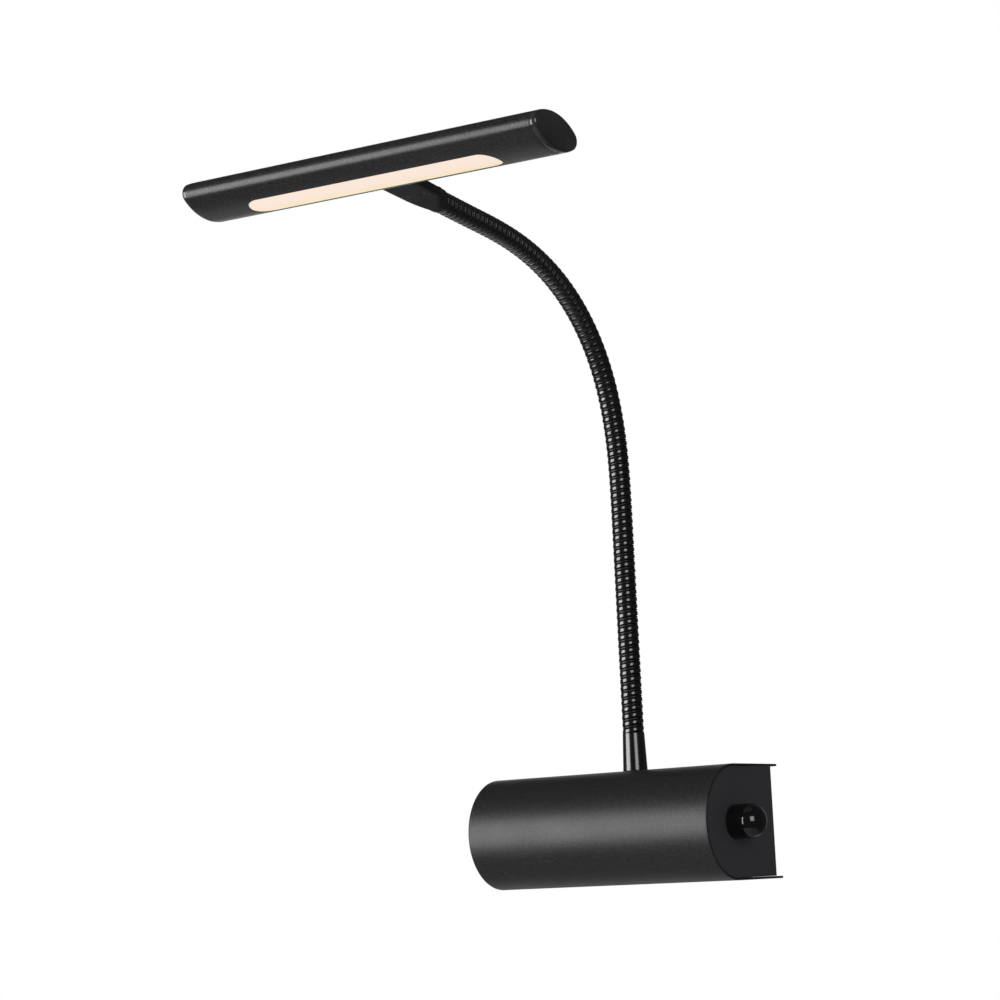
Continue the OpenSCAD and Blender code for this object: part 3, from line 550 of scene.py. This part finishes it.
# Rows of points run along the wire, so that where the helix comes round it joins the row one turn up
def neckPiece(name, start, end, look):
    rows, sides = look["rowsPerTurn"], look["sides"]
    column = np.arange(sides)
    low, high = (rows * (turn + ((column + 0.5) / sides < share)) for turn, share in (start, end))
    row = np.concatenate([np.arange(i, j) for i, j in zip(low, high)])
    column = np.repeat(column, high - low)
    after, lifted = (column + 1) % sides, row + rows * (column + 1 == sides)
    corners = np.stack([row * sides + column, lifted * sides + after, (lifted + 1) * sides + after,
                        (row + 1) * sides + column], -1)
    used, skinFaces = np.unique(corners.ravel(), return_inverse=True)
    row, column = used // sides, used % sides
    # seam here is the groove mask that carries the painted shade
    drop, seam = woundDrop(look["cut"] + row / rows, look)
    runs = (look["cut"] + row / rows + column / sides) * look["pitch"]
    way = unit(along(lineWays, runs))
    side = unit(neckLean - (way @ neckLean)[:, None] * way)
    angle = (column * 2 * math.pi / sides)[:, None]
    spoke = side * np.cos(angle) + np.cross(way, side) * np.sin(angle)
    skin = along(lineCentres, runs) + (look["outer"] - drop)[:, None] * spoke
    leadSides, step = look["leadSides"], look["leadStep"]
    coreRuns = np.arange(cutRun(start, look), cutRun(end, look) + step / 2, step)
    core = ringsAlong(along(lineCentres, coreRuns), look["lead"], leadSides, neckLean)
    coreFaces = gridFaces(len(core), leadSides, start=len(skin))
    faces = skinFaces.reshape(-1, 4).tolist() + coreFaces
    piece = addPiece(name, np.vstack([skin, core.reshape(-1, 3)]), faces, neckBlack, sharp=70)
    # per-point groove mask, read by the neck finish as painted shade in the grooves
    groove_shade = piece.data.attributes.new("groove_shade", "FLOAT", "POINT")
    groove_shade.data.foreach_set("value", np.r_[seam, np.zeros(core.size // 3)].astype(np.float32))
    piece.data.materials.append(blackLead)
    slots = np.r_[np.zeros(len(corners), int), np.ones(len(coreFaces), int)]
    piece.data.polygons.foreach_set("material_index", slots)
    return piece


# Bored ball under a cut, which closes it when the two sides spread
def neckBall(k, look):
    rise = np.radians(np.linspace(-look["ballReach"], look["ballReach"], look["ballRows"]))
    ball = np.column_stack([look["ball"] * np.sin(rise), look["ball"] * np.cos(rise)])
    bore = [(ball[-1, 0], look["bore"]), (ball[0, 0], look["bore"])]
    rows = turned(np.vstack([ball, bore, ball[:1]]), pivots[k], along(lineWays, jointRuns[k]), look["sides"])
    piece = addPiece(f"neck_ball_{k + 1:02d}", rows, gridFaces(len(rows), look["sides"]), neckBlack, closed=True)
    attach(piece, neckBodies[k])


# A run goes on over the first joint and the tilted ones; it is baked in place and rides no body. At the others the
# frame's blend is not steady, so the winding is cut there and each side rides its own body
jointRuns = (middleRuns[:-1] + middleRuns[1:]) / 2
bends = [k == 0 or sorted(np.abs(j["axis"]))[1] > neckLook["tilted"] for k, j in enumerate(neckJoints)]
cuts = [(0, cutFrom(-neckLook["pitch"], neckLook))]
for k, joint in enumerate(neckJoints):
    if not bends[k]:
        cuts.append((k + 1, cutAt(jointRuns[k], joint["axis"], neckLook)))
        neckBall(k, neckLook)
cuts.append((len(neckBodies), cutFrom(sum(spans), neckLook)))
for count, ((first, start), (stop, end)) in enumerate(zip(cuts[:-1], cuts[1:])):
    run = neckPiece(f"neck_run_{count:02d}", start, end, neckLook)
    if stop - first == 2:  # one joint within the run
        neckBodies[first + 1]
        tuple(middles[first + 1] * mm)
        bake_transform(run)
    else:
        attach(run, neckBodies[first])
    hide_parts(*[f"neck_stretch_{k:02d}" for k in range(first, stop)])
print("neck made,", len(cuts) - 1, "runs")

# Leads in the wall box and the bracket: routes listed point by point
leadLook = {
    "foot_lead": {"radius": 1.6, "finish": blackLead, "node": "neck_lead", "route": [
        (31.5, -26.5, -16.3), (38, -26.5, -15.3), (41, -24.5, -5.3), (26, -22.5, 9), (10, -20.5, 11),
        (0, -20.5, 18), (0, -20.5, 30), (0, -20.5, 51.5)]},
    "mains_brown": {"radius": 1.1, "finish": brownLead, "node": "mains_leads", "route": [
        (-51.5, -25.3, -16.3), (-56, -25.3, -16.3), (-61, -20.5, -5.3), (-44, -8.75, 0.15), (-39, -6.75, 6.15),
        (-39, -6.75, 13.15)]},
    "mains_blue": {"radius": 1.1, "finish": blueLead, "node": "mains_leads", "route": [
        (-51.5, -27.7, -16.3), (-56, -27.9, -16.3), (-57, -25.5, -5.3), (-36, -8.75, 0.15), (-31, -6.75, 6.15),
        (-31, -6.75, 13.15)]},
    "dimmer_red": {"radius": 0.9, "finish": redLead, "node": "dimmer_leads", "route": [
        (31.5, -37.9, -20.3), (37, -38.1, -21.3), (46, -42.75, -23.3), (62.75, -49, -22.3), (66.55, -49, -14.25),
        (67.15, -49, -10.25)]},
    "dimmer_black": {"radius": 0.9, "finish": blackLead, "node": "dimmer_leads", "route": [
        (31.5, -35.1, -20.3), (37, -35.1, -21.3), (46, -37.75, -23.3), (62.75, -39, -22.3), (66.55, -39, -14.25),
        (67.15, -39, -10.25)]},
}


def leadTube(name, route, radius, finish, sides=16, steps=8):
    aslant = np.array([0.45, 0.2, -0.87])  # no lead runs this way
    rings = ringsAlong(smoothPath(route, steps), radius, sides, aslant)
    last = (len(rings) - 1) * sides
    faces = gridFaces(len(rings), sides) + [list(range(sides)), list(range(last, last + sides))]
    return addPiece(name, rings, faces, finish, closed=True)


for name, look in leadLook.items():
    lead = leadTube(name, look["route"], look["radius"], look["finish"])
    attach(lead, "wall_box")
    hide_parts(look["node"])
print("leads made")

# Lamp head: sizes of the oval and places in the head's own frame, which starts at the last neck joint
headLook = {"length": 213.6, "width": 38.4, "thick": 18.6, "edgeRadius": 5.2, "wall": 1.4, "cap": 3.4,
            "window": 150, "windowWidth": 17.8, "reach": 57.1, "drop": 0.8, "stations": 161, "across": 25,
            "sideRows": 29, "topRows": 49, "faceRows": 13, "faceEase": 1.6, "rim": 0.22, "rimSteps": 3, "rimAngle": 50}
halfW, halfT, edgeR = headLook["width"] / 2, headLook["thick"] / 2, headLook["edgeRadius"]
edgeY = halfW - edgeR
flatR = (edgeY ** 2 + halfT ** 2 - edgeR ** 2) / (2 * (halfT - edgeR))
turnOver = math.atan2(edgeY, flatR - halfT)  # where the flat arcs hand over to the edge arcs
tubeHalf = headLook["length"] / 2 - headLook["cap"]
tubePlace = np.array([0, -(headTurns["neckEnd"] + headLook["reach"]), -headLook["drop"]])


def fromHead(points):
    return pivots[-1] + np.asarray(points, float).reshape(-1, 3) @ headTurn.T


def fromTube(points):
    return fromHead(np.asarray(points, float).reshape(-1, 3) + tubePlace)


# Oval of four arcs by the direction that its edge faces (0 is up, a quarter turn is back), grown by a distance
def oval(facing, grow=0):
    flat = np.abs(np.cos(facing)) >= math.cos(turnOver)
    radius = np.where(flat, flatR, edgeR) + grow
    y = np.where(flat, 0, np.sign(np.sin(facing)) * edgeY) + radius * np.sin(facing)
    z = np.where(flat, np.sign(np.cos(facing)) * (halfT - flatR), 0) + radius * np.cos(facing)
    return y, z


def underside(y):  # height of the oval's lower face
    return (flatR - halfT) - np.sqrt(flatR ** 2 - y ** 2)


# Window outline facing a point: straight sides in the middle, round ends
def windowEdge(x, y, grow=0):
    straight = (headLook["window"] - headLook["windowWidth"]) / 2
    r = headLook["windowWidth"] / 2 + grow
    middle = np.clip(x, -straight, straight)
    beyond = np.abs(x) > straight
    away = np.where(beyond, np.arctan2(y, x - middle), np.where(y > 0, math.pi / 2, -math.pi / 2))
    return middle, middle + r * np.cos(away), r * np.sin(away)


# A rectangle's edge points, anticlockwise from above, with the tube's own stations on the long sides
def rectangleLoop(xs, halfY, across):
    ys = np.linspace(-halfY, halfY, across)
    x = np.r_[xs[:-1], np.full(across - 1, xs[-1]), xs[::-1][:-1], np.full(across - 1, xs[0])]
    y = np.r_[np.full(len(xs) - 1, -halfY), ys[:-1], np.full(len(xs) - 1, halfY), ys[::-1][:-1]]
    return x, y


# Tube: a strip from the lower back edge over the top to the lower front edge, and a lower face round the window
def headTube():
    look = headLook
    xs = np.linspace(-tubeHalf, tubeHalf, look["stations"])
    side = np.linspace(math.pi - turnOver, turnOver, look["sideRows"])
    facing = np.r_[side, np.linspace(turnOver, -turnOver, look["topRows"])[1:-1], -side[::-1]]
    y, z = oval(facing)
    y[[0, -1]] = [flatR * math.sin(turnOver), -flatR * math.sin(turnOver)]
    z[[0, -1]] = underside(y[0])
    strip = np.stack(np.broadcast_arrays(xs[:, None], y, z), -1).reshape(-1, 3)
    outX, outY = rectangleLoop(xs, y[0], look["across"])
    _, holeX, holeY = windowEdge(outX, outY)
    share = (np.linspace(0, 1, look["faceRows"]) ** look["faceEase"])[:, None]
    ringX, ringY = holeX + (outX - holeX) * share, holeY + (outY - holeY) * share
    face = np.stack([ringX, ringY, underside(ringY)], -1).reshape(-1, 3)
    faces = gridFaces(len(xs), len(facing), wrap=False) + gridFaces(len(share), len(outX), start=len(strip))
    piece = addPiece("head_tube_skin", fromTube(np.vstack([strip, face])), faces, headBlack, closed=True)
    wall = piece.modifiers.new("wall", "SOLIDIFY")
    wall.thickness = look["wall"] * mm
    wall.offset = -1
    rim = piece.modifiers.new("rim", "BEVEL")
    rim.width, rim.segments = look["rim"] * mm, look["rimSteps"]
    rim.limit_method, rim.angle_limit = "ANGLE", math.radians(look["rimAngle"])
    return piece


tube = headTube()
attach(tube, "lamp_head")
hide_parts("head_tube")

# End cap: rings of the oval along a profile of (along, grow), a hollow plug inside and a crowned face outside
capLook = {"plug": 5, "gap": 0.15, "plugWall": 1.5, "edge": 2.4, "edgeRows": 13, "crown": 0.1, "faceRows": 12,
           "nick": 0.08, "land": 0.3, "sides": 160}


def endCap(name, end):
    seat, face = tubeHalf, tubeHalf + headLook["cap"]
    plugOut = -headLook["wall"] - capLook["gap"]
    plugIn = plugOut - capLook["plugWall"]
    edge, nick, sides = capLook["edge"], capLook["nick"], capLook["sides"]
    shoulder = roundEdge((face - edge, -edge), edge, edge, 90, 0, capLook["edgeRows"])
    profile = np.vstack([(seat, plugIn), (seat - capLook["plug"], plugIn), (seat - capLook["plug"], plugOut),
                         (seat, plugOut), (seat, -nick), (seat + nick, 0), (seat + capLook["land"], 0), shoulder])
    facing = np.linspace(0, 2 * math.pi, sides + 1)[:-1]
    y, z = oval(facing, profile[:, 1, None])
    rings = np.stack(np.broadcast_arrays(profile[:, 0, None] * end, y, z), -1)
    shrink = np.linspace(1, 0, capLook["faceRows"])[1:, None, None]
    outer = rings[-1] * np.where(np.arange(3) == 0, 1, shrink)
    outer[..., 0] += end * capLook["crown"] * (1 - shrink[..., 0] ** 2)
    inner = rings[0] * np.where(np.arange(3) == 0, 1, shrink[::-1])
    rows = np.vstack([inner, rings, outer])
    return addPiece(name, fromTube(rows), gridFaces(len(rows), sides), capBlack, closed=True)


for name, end, node in (("cap_skin_left", -1, "end_cap_left"), ("cap_skin_right", 1, "end_cap_right")):
    cap = endCap(name, end)
    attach(cap, "lamp_head")
    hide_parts(node)

# Lens: rings from the window's edge in to its middle line, just inside the tube's lower face, with a lip behind
lensLook = {"gap": 0.15, "recess": 0.25, "edge": 0.5, "edgeRows": 6, "frontRows": 14, "lip": 2.4, "back": 2.7,
            "outline": 0.8, "warmFrom": 0.35, "spotPitch": 26, "spotLevel": 0.8, "spotDepth": 0.2}


def lens():
    xs = np.linspace(-tubeHalf, tubeHalf, headLook["stations"])
    outX, outY = rectangleLoop(xs, halfW * lensLook["outline"], headLook["across"])
    middle, edgeX, edgeYs = windowEdge(outX, outY, -lensLook["gap"])
    _, lipX, lipY = windowEdge(outX, outY, lensLook["lip"])
    level = underside(edgeYs)
    inTube = underside(lipY) + headLook["wall"] + lensLook["gap"]
    back = -halfT + headLook["wall"] + lensLook["back"]
    slope = np.radians(np.linspace(0, 90, lensLook["edgeRows"]))[:, None]
    halfWindow = headLook["windowWidth"] / 2
    turnIn = 1 - lensLook["edge"] * (1 - np.sin(slope)) / halfWindow
    ring = lambda share, height: np.stack(np.broadcast_arrays(
        middle + (edgeX - middle) * share, edgeYs * share, height), -1)
    share = np.linspace(0, 1, lensLook["frontRows"])[:-1, None] * turnIn[0, 0]
    front = ring(share, underside(edgeYs * share) + lensLook["recess"])
    corner = ring(turnIn, level + lensLook["recess"] + lensLook["edge"] * (1 - np.cos(slope)))
    wall = ring(np.ones((1, 1)), level + headLook["wall"])
    rear = np.full_like(lipX, back)
    lip = np.stack([np.stack([lipX, lipY, inTube], -1), np.stack([lipX, lipY, rear], -1)])
    spine = np.stack([middle, np.zeros_like(lipY), rear], -1)[None]
    rows = np.concatenate([front, corner, wall, lip, spine])
    piece = addPiece("lens_skin", fromTube(rows), gridFaces(len(rows), len(outX)), opal)
    warmFrom = lensLook["warmFrom"]  # warmer from here to the back edge
    toBack = np.clip((rows[..., 1] / halfWindow + warmFrom) / (1 + warmFrom), 0, 1)
    wave = np.cos(rows[..., 0] * 2 * math.pi / lensLook["spotPitch"])
    spots = lensLook["spotLevel"] + lensLook["spotDepth"] * wave
    warm = piece.data.attributes.new("warm", "FLOAT", "POINT")
    warm.data.foreach_set("value", (toBack * toBack * (3 - 2 * toBack) * spots).astype(np.float32).ravel())
    return piece


glow = lens()
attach(glow, "lamp_head")
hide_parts("diffuser")
print("head tube, caps and lens made")

# Head bracket: a round barrel that flares into a flat tongue, laid to the tube's back edge, with a cover let in below
bracketLook = {"barrel": 6.3, "barrelLength": 6, "flareEnd": 16, "flareWidth": 20.8, "endAt": 51.9, "endWidth": 22.6,
               "tongue": 5.6, "coverLength": 11.5, "coverThick": 1.1, "coverGap": 0.15,
               "screwX": 6.5, "screwAt": 19.83, "screwHead": 2.1, "screwSink": 0.9, "screwGap": 0.05, "screwDepth": 2,
               "easeFrom": 0.4, "square": 2.6, "squareSides": 3, "overlap": 0.06, "sides": 144, "sharp": 40,
               "noseRuns": (0, 0.12, 0.35, 0.7), "noseScale": (0.93, 0.965, 0.985, 0.997), "noseFrom": 1.2,
               "noseRows": 28, "rows": 16}
bracketLength = headLook["reach"] - halfW
seamHeight = bracketLook["coverThick"] - headLook["drop"] - bracketLook["tongue"] / 2


# Section at each run from the mouth: a rounded oblong whose half sizes ease from the barrel to the tongue
def bracketRows(runs, shape):
    look = bracketLook
    runs = np.asarray(runs, float)[:, None]
    easeAt = look["barrelLength"] * look["easeFrom"]
    ease = np.clip((runs - easeAt) / (look["flareEnd"] - easeAt), 0, 1)
    ease = ease * ease * (3 - 2 * ease)
    widen = np.clip((runs - look["flareEnd"]) / (look["endAt"] - look["flareEnd"]), 0, 1)
    tongueWide = (look["flareWidth"] + (look["endWidth"] - look["flareWidth"]) * widen) / 2
    wide = look["barrel"] + (tongueWide - look["barrel"]) * ease
    tall = look["barrel"] + (look["tongue"] / 2 - look["barrel"]) * ease
    square = 2 + look["square"] * ease  # 2 is an ellipse, more is squarer
    a = np.arange(look["sides"]) * 2 * math.pi / look["sides"]
    x = wide * np.sign(np.cos(a)) * np.abs(np.cos(a)) ** (2 / (square + look["squareSides"] * ease))
    z = tall * np.sign(np.sin(a)) * np.abs(np.sin(a)) ** (2 / square) - headLook["drop"] * ease
    lastThird = np.clip(runs / bracketLength * 3 - 2, 0, 1)
    fromAxis = np.clip(np.abs(z + headLook["drop"]), 0, edgeR * 0.98)  # short of the edge arc's end
    backEdge = edgeY + np.sqrt(edgeR ** 2 - fromAxis ** 2) - halfW
    y = -headTurns["neckEnd"] - runs + (backEdge + look["overlap"]) * lastThird
    return np.stack(np.broadcast_arrays(x, y, shape(z)), -1)


def closedRows(name, rows, finish, sharp):
    count = rows.shape[1]
    last = (len(rows) - 1) * count
    faces = gridFaces(len(rows), count) + [list(range(count)), list(range(last, last + count))]
    return addPiece(name, fromHead(rows), faces, finish, sharp=sharp, closed=True)


def headBracket():
    look = bracketLook
    count, gap = look["rows"], look["coverGap"]
    coverAt, coverEnd = look["flareEnd"], look["flareEnd"] + look["coverLength"]
    above = lambda z: np.maximum(z, seamHeight + gap)
    below = lambda z: np.minimum(z, seamHeight)
    plain = lambda z: z
    nose = bracketRows(np.r_[look["noseRuns"], np.linspace(look["noseFrom"], coverAt, look["noseRows"])], plain)
    scaleIn = np.r_[look["noseScale"], np.ones(look["noseRows"])][:, None]
    nose[..., 0] *= scaleIn
    nose[..., 2] *= scaleIn
    bridge = bracketRows(np.linspace(coverAt, coverEnd + gap, count), above)
    root = bracketRows(np.linspace(coverEnd + gap, bracketLength, count), plain)
    body = closedRows("bracket_body", np.concatenate([nose, bridge, root]), bracketBlack, look["sharp"])
    lid = bracketRows(np.linspace(coverAt + gap, coverEnd, count), below)
    cover = closedRows("bracket_lid", lid, bracketBlack, look["sharp"])
    outside = -headLook["drop"] - look["tongue"] / 2
    hole = look["screwHead"] - look["screwSink"] + look["screwGap"]
    cone = sunkHole(hole, look["screwSink"], look["screwDepth"])
    cutter = holeCutter(cone, [(s * look["screwX"], -headTurns["neckEnd"] - look["screwAt"], outside) for s in (-1, 1)])
    cutter.data.vertices.foreach_set("co", (fromHead(vertexTable(cutter) / mm) * mm).astype(np.float32).ravel())
    cutHoles(cover, cutter)
    return body, cover


bracketBody, bracketLid = headBracket()
for piece, node in ((bracketBody, "head_bracket"), (bracketLid, "bracket_cover")):
    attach(piece, "lamp_head")
    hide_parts(node)

headLead = leadTube("head_lead", fromHead([
    (0, -27.4, -0.4), (0, -35.4, -0.8), (0, -43.4, -0.8), (0, -65.3, -0.8), (0, -78.4, -0.8)]),
    neckLook["lead"], blackLead)
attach(headLead, "lamp_head")
print("bracket made")

# Nodes that keep their own shape and take a finish
nodeFinish = {
    "end_plate_left": plateBlack, "end_plate_right": plateBlack, "wall_bracket": zinc, "cable_grommet": rubber,
    "cover_screws": blackScrew, "bracket_screws": blackScrew, "earth_screw": brass, "terminal_block": whiteCase,
    "terminal_screws": brass, "led_driver": whiteCase, "driver_pad": foam, "dimmer_body": greyCase,
    "dimmer_lugs": zinc, "dimmer_nut": zinc, "dimmer_shaft": zinc, "neck_washer": zinc, "neck_nut": zinc,
    "saddle_screws": zinc, "led_carrier": bareAluminium, "led_board": boardWhite, "led_chips": ledYellow,
}
for name, finish in nodeFinish.items():
    nodes[name].data.materials.clear()
    nodes[name].data.materials.append(finish)
print("finishes laid on", len(nodeFinish), "nodes")

# Studio: two soft boxes, a weak fill from above, a pale floor far below and a white background
studio = {
    "keyBox": {"from": (-1.05, -1.55, 0.08), "size": (1.35, 1.4), "power": 33},
    "sideBox": {"from": (1.6, -1.25, 0.42), "size": (0.95, 1.0), "power": 9.6},
    "topBox": {"from": (0.1, -0.5, 2.0), "size": (1.6, 1.2), "power": 0.6},
    "target": (0, -0.1, 0.12), "fill": 0.2, "room": 0.06, "behind": (0.93, 0.985, 1.0), "below": (0.84, 0.97, 0.45),
    "lowTilt": -0.75,
    "floor": -1.0, "floorRadius": 1.0, "floorRings": 9, "floorSides": 64,
}


def addBox(name, look):
    light = bpy.data.lights.new(name, "AREA")
    light.shape = "RECTANGLE"
    light.size, light.size_y = look["size"]
    light.energy = look["power"]
    lamp = bpy.data.objects.new(name, light)
    place = np.array(look["from"])
    back = unit(place - np.array(studio["target"]))
    across = unit(np.cross((0, 0, 1), back))
    turn = np.eye(4)
    turn[:3] = np.column_stack([across, np.cross(back, across), back, place])
    lamp.matrix_world = Matrix(turn.tolist())
    scene.collection.objects.link(lamp)


for name in ("keyBox", "sideBox", "topBox"):
    addBox(name, studio[name])


# World: white to the camera and behind the lamp, a dim room round it in the gloss, an even fill for matt surfaces
def addWorld():
    world = bpy.data.worlds.new("studio")
    scene.world = world
    world.use_nodes = True
    tree = world.node_tree
    tree.nodes.clear()

    def put(kind, **settings):
        made = tree.nodes.new(kind)
        for key, value in settings.items():
            setattr(made, key, value)
        return made

    where = put("ShaderNodeTexCoord")

    def paper(aim, start, full, level):  # pale patch of the room about a direction
        facing = put("ShaderNodeVectorMath", operation="DOT_PRODUCT")
        facing.inputs[1].default_value = tuple(aim)
        tree.links.new(where.outputs["Generated"], facing.inputs[0])
        spread = put("ShaderNodeMapRange", interpolation_type="SMOOTHSTEP")
        for key, value in (("From Min", start), ("From Max", full), ("To Min", studio["room"]), ("To Max", level)):
            spread.inputs[key].default_value = value
        tree.links.new(facing.outputs["Value"], spread.inputs["Value"])
        return spread.outputs["Result"]

    mirrored = put("ShaderNodeMath", operation="MAXIMUM")
    lowAim = unit(np.array([viewAim[0], viewAim[1], studio["lowTilt"]]))
    tree.links.new(paper(viewAim, *studio["behind"]), mirrored.inputs[0])
    tree.links.new(paper(lowAim, *studio["below"]), mirrored.inputs[1])
    rays = put("ShaderNodeLightPath")
    direct = put("ShaderNodeMath", operation="MAXIMUM")
    tree.links.new(rays.outputs["Is Camera Ray"], direct.inputs[0])
    tree.links.new(rays.outputs["Is Transmission Ray"], direct.inputs[1])
    strength = studio["fill"]
    for ray, level in ((rays.outputs["Is Glossy Ray"], mirrored.outputs[0]), (direct.outputs[0], 1.0)):
        choice = put("ShaderNodeMix")
        tree.links.new(ray, choice.inputs["Factor"])
        for slot, value in ((2, strength), (3, level)):
            if isinstance(value, float):
                choice.inputs[slot].default_value = value
            else:
                tree.links.new(value, choice.inputs[slot])
        strength = choice.outputs[0]
    backdrop, out = put("ShaderNodeBackground"), put("ShaderNodeOutputWorld")
    backdrop.inputs["Color"].default_value = (1, 1, 1, 1)
    tree.links.new(strength, backdrop.inputs["Strength"])
    tree.links.new(backdrop.outputs[0], out.inputs["Surface"])


addWorld()

floorFinish = paleFloor("floor_pale", "b2b2b1", "aeaead")
rings, sides = studio["floorRings"], studio["floorSides"]
ringAt = np.linspace(0, 1, rings)[:, None] * studio["floorRadius"] / mm
angle = np.linspace(0, 2 * math.pi, sides + 1)[:-1]
disc = np.stack(np.broadcast_arrays(ringAt * np.cos(angle), ringAt * np.sin(angle), studio["floor"] / mm), -1)
floor = addPiece("floor", disc, gridFaces(rings, sides), floorFinish)

scene.view_settings.view_transform = "Standard"
print("studio lit")
